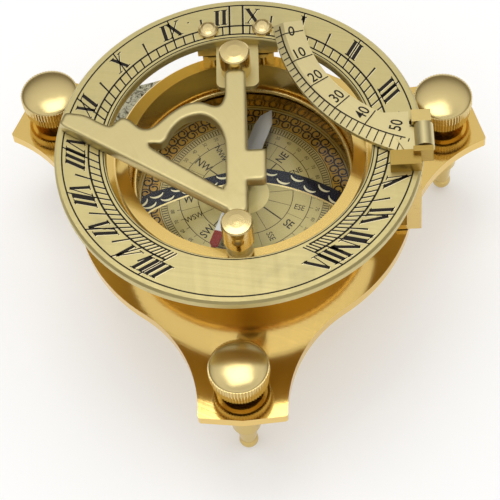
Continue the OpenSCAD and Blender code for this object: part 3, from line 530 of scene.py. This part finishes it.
# Hub of the card: a thin pale disc round the pivot, riveted with it, domed a little towards its
# middle. From its inner to its outer edge it falls by 0.08 mm times the share squared.
def ring_faces(at):
    """Faces between rings of points round an axis: at holds the points' numbers, one row for each ring."""
    after = np.roll(at, -1, 1)
    return np.stack([at[:-1], at[1:], after[1:], after[:-1]], 2).reshape(-1, 4).tolist()


hub_in, hub_out, hub_lift, hub_rise, hub_rings, hub_steps = 1.3, 5.4, 0.07, 0.08, 14, 72
r = np.linspace(0.0, 1.0, hub_rings)[:, None]
t = np.linspace(0, 2 * np.pi, hub_steps + 1)[None, :-1]
pivot_x = (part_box("needle_pivot")[0][0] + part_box("needle_pivot")[1][0]) / 2 / MM
hub_r = hub_in + (hub_out - hub_in) * r
hub_z = card_top + hub_lift + hub_rise * (1 - r ** 2) + 0 * t
corners = np.stack([pivot_x * (1 - r) + hub_r * np.cos(t), hub_r * np.sin(t) + 0 * r, hub_z], 2)
mesh = bpy.data.meshes.new("card_hub")
at = np.arange(hub_rings * hub_steps).reshape(hub_rings, hub_steps)
mesh.from_pydata(corners.reshape(-1, 3) * MM, [], ring_faces(at))
mesh.shade_smooth()
mesh.materials.append(brass("hub_disc", (0.74, 0.61, 0.27), (0.46, 0.31, 0.06), 0.22, 0.32, scale=120.0, cover=0.5,
                            centre=(pivot_x, 0)))
card_hub = put("card_hub", mesh)
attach(card_hub, "base")

# Needle: a strip of silvered steel on a hard steel point, with a turned brass cap. The last
# quarter of its south arm is dipped in red lacquer.
steel = brass("plain_steel", (0.62, 0.60, 0.57), (0.36, 0.32, 0.28), 0.26, 0.42, scale=160.0)
finish_nodes(steel, "needle_pivot", "gnomon_pivots", "hinge_pin")
finish_nodes(brass("turned_cap", (0.78, 0.62, 0.26), (0.5, 0.34, 0.1), 0.2, 0.3, centre=(pivot_x, 0)), "needle_cap")
north = np.radians(70)
pivot_along = pivot_x * MM * np.cos(north)
dip_begin, dip_full = -0.0126 + pivot_along, -0.0128 + pivot_along
silvered, tree, shader = new_finish("silvered_strip")
shader.inputs["Specular IOR Level"].default_value = 0.15
where = add(tree, "TexCoord")
along = add(tree, "VectorMath", operation="DOT_PRODUCT", i1=(np.cos(north), np.sin(north), 0))
dipped = add(tree, "MapRange", i1=dip_begin, i2=dip_full)
lines = place_group(tree, scuffs, Scale=1800.0, Turn=-1.2)
cloud = place_group(tree, bloom, Scale=150.0, Cover=0.5)
grey = add(tree, "Mix", data_type="RGBA", i6=(0.66, 0.66, 0.67, 1), i7=(0.36, 0.35, 0.34, 1))
colour = add(tree, "Mix", data_type="RGBA", i7=(0.42, 0.030, 0.012, 1))
metal = add(tree, "Math", operation="MULTIPLY_ADD", i1=-0.85, i2=0.85)
gloss = add(tree, "Math", operation="MULTIPLY_ADD", i1=0.25, i2=0.25)
bump = add(tree, "Bump", Strength=0.3, Distance=0.00002)
wire(tree,
     (where.outputs["Object"], along.inputs[0]),
     (where.outputs["Object"], lines.inputs["Vector"]),
     (where.outputs["Object"], cloud.inputs["Vector"]),
     (along.outputs["Value"], dipped.inputs[0]),
     (cloud.outputs[0], grey.inputs[0]),
     (dipped.outputs[0], colour.inputs[0]),
     (grey.outputs[2], colour.inputs[6]),
     (colour.outputs[2], shader.inputs["Base Color"]),
     (dipped.outputs[0], metal.inputs[0]),
     (metal.outputs[0], shader.inputs["Metallic"]),
     (lines.outputs[0], gloss.inputs[0]),
     (gloss.outputs[0], shader.inputs["Roughness"]),
     (lines.outputs[0], bump.inputs["Height"]),
     (bump.outputs[0], shader.inputs["Normal"]))
finish_nodes(silvered, "needle_blade")

# Glass: a clear flat disc of window glass on the bowl's ledge, held by a sprung wire ring.
# Light that only passes through on its way to the card isn't dimmed.
glass, tree, shader = new_finish("clear_glass")
shader.inputs["Base Color"].default_value = (0.97, 0.985, 0.975, 1)
shader.inputs["Metallic"].default_value = 0.0
shader.inputs["Transmission Weight"].default_value = 1.0
shader.inputs["IOR"].default_value = 1.3
where = add(tree, "TexCoord")
dust = place_group(tree, bloom, Scale=240.0, Cover=0.42)
haze = add(tree, "Math", operation="MULTIPLY", i1=0.03)
path = add(tree, "LightPath")
clear = add(tree, "BsdfTransparent", Color=(0.95, 0.965, 0.955, 1))
either = add(tree, "MixShader")
wire(tree,
     (where.outputs["Object"], dust.inputs["Vector"]),
     (dust.outputs[0], haze.inputs[0]),
     (haze.outputs[0], shader.inputs["Roughness"]),
     (path.outputs["Is Shadow Ray"], either.inputs[0]),
     (shader.outputs[0], either.inputs[1]),
     (clear.outputs[0], either.inputs[2]),
     (either.outputs[0], tree.nodes["Material Output"].inputs["Surface"]))
finish_nodes(glass, "glass_cover")
finish_nodes(brass("drawn_wire", (0.85, 0.66, 0.28), (0.5, 0.32, 0.1), 0.14, 0.3, scale=120.0), "glass_retainer")

# Hinge of the hour ring: a milled bracket screwed to the bowl's rim, a leaf under the ring, and
# two rivets whose heads were hammered to domes and polished.
milled = brass("milled_brass", (0.68, 0.52, 0.20), (0.44, 0.29, 0.09), 0.20, 0.34, scale=80.0)
finish_nodes(milled, "hinge_bracket", "ring_hinge_leaf", "hinge_bracket_screws")
polished_domes = brass("polished_domes", (0.90, 0.72, 0.36), (0.62, 0.40, 0.14), 0.10, 0.22, scale=110.0)
finish_nodes(polished_domes, "ring_leaf_rivets")

# Hour ring: a ring of rolled brass plate, satin on top, its edge turned and lightly broken. The
# lines and numerals are cut with a graver and filled with black; beside them, shifted to the south-east,
# lies a bright strip that is a painted highlight standing for the cut's lit wall.
satin_ring = brass("satin_ring", (0.62, 0.53, 0.25), (0.43, 0.40, 0.24), 0.24, 0.40, scale=70.0, cover=0.52,
                   scuff=0.2, turn_by=0.2, depth=0.00006)
finish_nodes(satin_ring, "hour_ring")
ring_lo, ring_hi = (np.array(c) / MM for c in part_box("hour_ring"))
ring_top = ring_hi[2]
ring_mid = (ring_lo[:2] + ring_hi[:2]) / 2
dial_mid = np.array([0.0, -20.0])
noon_half, noon_in, dial_half = 1.5, 30.1, 0.8
rim_line, half_end, track_out, track_in, bore_line = 38.3, 35.7, 32.5, 30.15, 29.3


def on_hour_line(hours, r):
    """Where the line of an hour meets a circle of radius r: it starts south of the middle, east or west of noon
    by half the gnomon, and turns by 15 degrees an hour."""
    hours = np.asarray(hours, float)
    way = np.radians(15 * hours)
    d = np.stack([np.sin(way), np.cos(way)], -1)
    o = dial_mid + np.stack([np.sign(hours) * dial_half, 0 * hours], -1)
    b = (o * d).sum(-1)
    return o + d * (-b + np.sqrt(b * b - (o * o).sum(-1) + r * r))[..., None]


def hour_lines(hours, inner, outer, widths):
    """Strips along hour lines, from one circle to another."""
    return strips(np.stack([on_hour_line(hours, inner), on_hour_line(hours, outer)], 1), widths)


# Lines of the ring: two full circles, and a track between two arcs with a mark every ten minutes,
# a longer line at each half hour and a full one at each hour. Noon has a line on either side.
ends = np.degrees(np.arctan2(*on_hour_line([8.0, -8.0], track_out).T))
sixths = np.arange(1, 49) / 6.0
sixths = np.concatenate([-sixths, sixths])
hours = np.array([h for h in range(-8, 9) if h])
halves = np.concatenate([np.arange(-7.5, 0), np.arange(0.5, 8)])
noon = [[(x, np.sqrt(r * r - x * x)) for r in (noon_in, rim_line)] for x in (-noon_half, noon_half)]
cuts = [strips(circle(r, 0, 360, 241), width) for r, width in ((rim_line, 0.34), (bore_line, 0.26))]
cuts += [strips(circle(r, 90 - ends[0], 90 - ends[1], 181), width)
         for r, width in ((track_out, 0.42), (track_in, 0.36))]
# Lines from here on also get the painted highlight of a lit cut wall beside them, further down.
highlighted_from = len(cuts)
cuts += [hour_lines(sixths, track_in, track_out, 0.34),
         hour_lines(hours, track_out, rim_line, 0.32),
         hour_lines(halves, track_out, half_end, [0.32, 0.46]),
         strips(noon, 0.46)]

# Numerals of the ring, as strokes of the graver. A stroke runs from (u, v) to (u, v) with a
# width, all in shares of the numeral's height, v from its foot.
STROKES = {"I": [(0, 0.02, 0, 0.98, 0.19), (-0.17, 0.03, 0.17, 0.03, 0.055), (-0.17, 0.97, 0.17, 0.97, 0.055)],
           "V": [(-0.27, 0.98, 0.05, 0.01, 0.17), (0.28, 0.98, 0.07, 0.03, 0.06), (-0.42, 0.97, -0.10, 0.97, 0.055),
                 (0.13, 0.97, 0.42, 0.97, 0.055)],
           "X": [(-0.27, 0.98, 0.27, 0.02, 0.18), (0.27, 0.98, -0.27, 0.02, 0.06), (-0.42, 0.97, -0.12, 0.97, 0.055),
                 (0.14, 0.97, 0.40, 0.97, 0.055), (0.12, 0.03, 0.42, 0.03, 0.055), (-0.40, 0.03, -0.14, 0.03, 0.055)]}
ADVANCE = {"I": 0.37, "V": 0.68, "X": 0.72}
tall = 4.3


def numeral(text, place, way):
    """Strokes of a roman numeral. Its letters stand side by side along the ring, tops inward, and their upright
    strokes run along the hour line of direction way: stroke end (u, v) goes to
    place + tall * (u * right + (v - 1/2) * toward)."""
    inward = -place / np.linalg.norm(place)
    right = np.array([inward[1], -inward[0]])
    toward = -np.array([np.sin(way), np.cos(way)])
    toward /= toward @ inward
    found, width, left = [], [], -sum(ADVANCE[c] for c in text) / 2
    for c in text:
        s = np.array(STROKES[c])
        u = s[:, [0, 2]] + left + ADVANCE[c] / 2
        v = s[:, [1, 3]] - 0.5
        found.append(place + tall * (u[..., None] * right + v[..., None] * toward))
        width.append(s[:, 4] * tall)
        left += ADVANCE[c]
    return strips(np.concatenate(found), np.concatenate(width)[:, None])


def level_ring(xy):
    """The ring's top is flat."""
    return np.full(len(xy), ring_top)


east = {1: "I", 2: "II", 3: "III", 4: "IIII", 5: "V", 6: "VI", 7: "VII", 8: "VIII"}
west = {1: "XI", 2: "X", 3: "IX", 4: "VIII", 5: "VII", 6: "VI", 7: "V", 8: "IIII"}
figures_r, noon_figures_r = 35.3, 35.2
figures = []
for sign, names in ((1, east), (-1, west)):
    for hour, text in names.items():
        figures.append(numeral(text, on_hour_line(sign * hour, figures_r), np.radians(15 * sign * hour)))
for text, x in (("X", 3.7), ("II", -3.5)):
    figures.append(numeral(text, np.array([x, np.sqrt(noon_figures_r ** 2 - x * x)]), 0.0))
slip_of_the_graver = strips([[(-11.0, 34.1), (-10.65, 34.15)]], 0.35)
figures.append(slip_of_the_graver)
# Bright copy of the strokes, shifted south-east and lying under the black: a painted highlight of the graver's lit
# wall, not a real groove.
painted_cut_highlight = brass("cut_painted_highlight", (0.98, 0.86, 0.55), (0.85, 0.70, 0.38), 0.22, 0.30)
cut_lift, highlight_lift, highlight_shift = 0.016, 0.008, (0.09, -0.10)
shapes = [(xy + ring_mid, f, cut_lift, 0) for xy, f in cuts + figures]
shapes += [(xy + ring_mid + highlight_shift, f, highlight_lift, 1) for xy, f in cuts[highlighted_from:] + figures]
hour_engraving = inlay("hour_engraving", "ring", shapes, level_ring, [black, painted_cut_highlight])

# Bridge, posts and gnomon: the bridge is bent from plate and riveted under the leaf, the posts
# are turned, and the gnomon is one casting, draw-filed flat and satin on both faces.
finish_nodes(brass("bent_plate", (0.62, 0.52, 0.25), (0.48, 0.36, 0.14), 0.32, 0.42, scale=60.0), "gnomon_bridge")


def axis_of(low, high):
    """Where the upright axis of a turned node stands, in millimetres, from the corners of its box."""
    return (low[0] + high[0]) / 2 / MM, (low[1] + high[1]) / 2 / MM


fine_rings = 7000.0
for post in ("north_post", "south_post"):
    finish_nodes(brass("turned_" + post, (0.80, 0.63, 0.29), (0.56, 0.40, 0.15), 0.12, 0.22, scuff=0.05,
                       rings=fine_rings, centre=axis_of(*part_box(post))), post)
filed_casting = brass("filed_casting", (0.65, 0.55, 0.27), (0.47, 0.39, 0.18), 0.22, 0.36, scale=75.0, cover=0.48,
                      scuff=0.18, turn_by=1.1, depth=0.00006, soft=1.1)
finish_nodes(filed_casting, "gnomon")

# Latitude arc: cut from plate, its outer edge bevelled for the scale. The scale is cut and filled
# like the ring's: every ten degrees it has a number and, up to 40, a line across the arc.
satin_arc = brass("satin_arc", (0.70, 0.60, 0.31), (0.52, 0.44, 0.22), 0.22, 0.36, scale=75.0, cover=0.48,
                  scuff=0.16, turn_by=0.8, depth=0.00006)
finish_nodes(satin_arc, "latitude_arc")
arc_gap, arc_thick = 0.3, 2.0
arc_top = ring_top + arc_gap + arc_thick
arc_mid, arc_r, bevel_w, bevel_t = np.array([50.2141, 31.3755]), 42.0, 2.3, 1.0
bevel_r = arc_r - bevel_w
# Two more circles, each a middle and a radius: the inner line of the scale and the arc's back edge.
scale_line = np.array([47.89, 31.57]), 38.35
back_edge = np.array([48.2167, 30.8576]), 33.4


def level_arc(xy):
    """Flat, then falling evenly across the bevel to the outer edge."""
    r = np.linalg.norm(xy - arc_mid, axis=1)
    return arc_top - bevel_t * np.clip((r - arc_r + bevel_w) / bevel_w, 0, 1)


def from_scale(way, r):
    """The point at distance r from the arc's middle, in a direction in degrees."""
    way = np.radians(np.asarray(way, float))
    return arc_mid + np.stack([np.cos(way), np.sin(way)], -1) * np.asarray(r)[..., None]


def reach_of(ring, way):
    """How far out another circle, given as middle and radius, lies in a direction from the arc's middle."""
    middle, r = ring
    d = from_scale(way, 1.0) - arc_mid
    o = arc_mid - middle
    b = (d * o).sum(-1)
    return -b + np.sqrt(b * b - (o * o).sum() + r ** 2)


def across_arc(ways, *radii):
    """Lines across the arc in these directions, through these distances from its middle."""
    return np.stack([from_scale(ways, r) for r in radii], 1)


# Directions of the tens of latitude from the arc's middle, and of one more beyond either end, so
# that the ticks between and beside them are spaced evenly. No tick is cut beyond the last direction.
tens, before, beyond, last = np.array([189.2, 200.6, 212.0, 223.4, 234.7, 247.2]), 177.8, 259.9, 250.5
ticks = np.interp(np.arange(-1, 27) / 5.0, np.arange(-1, 7), np.concatenate([[before], tens, [beyond]]))
ticks = ticks[ticks < last]
tick_in = reach_of(scale_line, ticks)
sweep = np.linspace(185.6, 248.5, 90)
long_ones = tens[:5]
long_out = reach_of(scale_line, long_ones)
marks = [strips(across_arc(ticks, tick_in, np.maximum(tick_in + 0.05, bevel_r + 0.1), arc_r - 0.12), 0.26),
         strips(from_scale(sweep, reach_of(scale_line, sweep))[None], 0.30),
         strips(across_arc(long_ones, long_out, np.minimum(long_out - 0.05, bevel_r - 0.1),
                           reach_of(back_edge, long_ones) + 0.2), 0.27)]
number_spots = [(12.4, 25.5), (13.9, 19.3), (17.3, 12.8), (21.8, 7.0), (27.1, 2.3), (34.2, -1.5)]
number_turns = np.radians([8, 22, 33, 44, 55, 74])
numbers = lettering(["0", "10", "20", "30", "40", "50"], 3.8, 0.012, number_spots, number_turns, 0.78)
mark_lift, number_lift = 0.045, 0.014
shapes = [(xy, f, mark_lift, 0) for xy, f in marks] + [(xy, f, number_lift, 0) for xy, f in numbers]
arc_scale = inlay("arc_scale", "arc", shapes, level_arc, [black])

# Hinge of the arc: a milled block on the ring with a screw and the prop under it, and an ear
# riveted beside the knuckle. The prop is a bent strip, buffed like the plate below.
browned_block = brass("browned_block", (0.46, 0.31, 0.08), (0.34, 0.20, 0.04), 0.20, 0.30, scale=90.0)
buffed_strip = brass("buffed_strip", (0.74, 0.54, 0.20), (0.34, 0.20, 0.05), 0.12, 0.26, scale=110.0, cover=0.52)
finish_nodes(milled, "arc_ear")
finish_nodes(browned_block, "arc_block", "arc_block_screws", "arc_hinge_pin")
finish_nodes(buffed_strip, "ring_prop")

# Levelling screws: turned brass legs with a ball foot and a knurled knob. The knob's top is a dome
# finished on the lathe: at a share s of its radius it stands 1.2 mm times (1 - s ** 2) ** 0.7 over
# its rim, which lies just inside the notches of the knurl, and a short wall closes it into the knob.
dome_r, dome_rise, rim_drop, wall_drop, round_steps = 6.33, 1.2, 0.69, 0.05, 96
share = np.sin(np.linspace(0.05, np.pi / 2, 20))
dome_line = np.stack([np.append(share, 1.0) * dome_r, np.append(dome_rise * (1 - share ** 2) ** 0.7, -wall_drop)], 1)
t = np.linspace(0, 2 * np.pi, round_steps + 1)[:-1]
at = 1 + np.arange(len(dome_line) * round_steps).reshape(len(dome_line), round_steps)
dome_faces = ring_faces(at) + np.stack([0 * at[0], at[0], np.roll(at[0], -1)], 1).tolist()
for name in ("front", "right", "left"):
    axis = axis_of(*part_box(name + "_screw"))
    # The legs' brown bloom is darker than elsewhere: partly tarnish, partly painted shade for the dark reflection of
    # the shaded table under the plate.
    finish_nodes(brass("leg_tarnish_and_painted_shade_" + name, (0.70, 0.53, 0.20), (0.30, 0.18, 0.05), 0.11, 0.26, scale=120.0,
                       cover=0.5, centre=axis), name + "_screw")
    turned_knob = brass("turned_knob_" + name, (0.74, 0.59, 0.27), (0.54, 0.40, 0.15), 0.16, 0.24, scale=60.0,
                        scuff=0.05, centre=axis, rings=fine_rings)
    finish_nodes(turned_knob, name + "_knob")
    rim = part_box(name + "_knob")[1][2] / MM - rim_drop
    rings = np.stack([[axis[0] + r * np.cos(t), axis[1] + r * np.sin(t), rim + z + 0 * t] for r, z in dome_line])
    corners = np.concatenate([[[*axis, rim + dome_rise]], rings.transpose(0, 2, 1).reshape(-1, 3)])
    mesh = bpy.data.meshes.new(name + "_dome")
    mesh.from_pydata(corners * MM, [], dome_faces)
    mesh.shade_smooth()
    mesh.materials.append(turned_knob)
    dome = put(name + "_dome", mesh)
    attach(dome, name + "_handle")
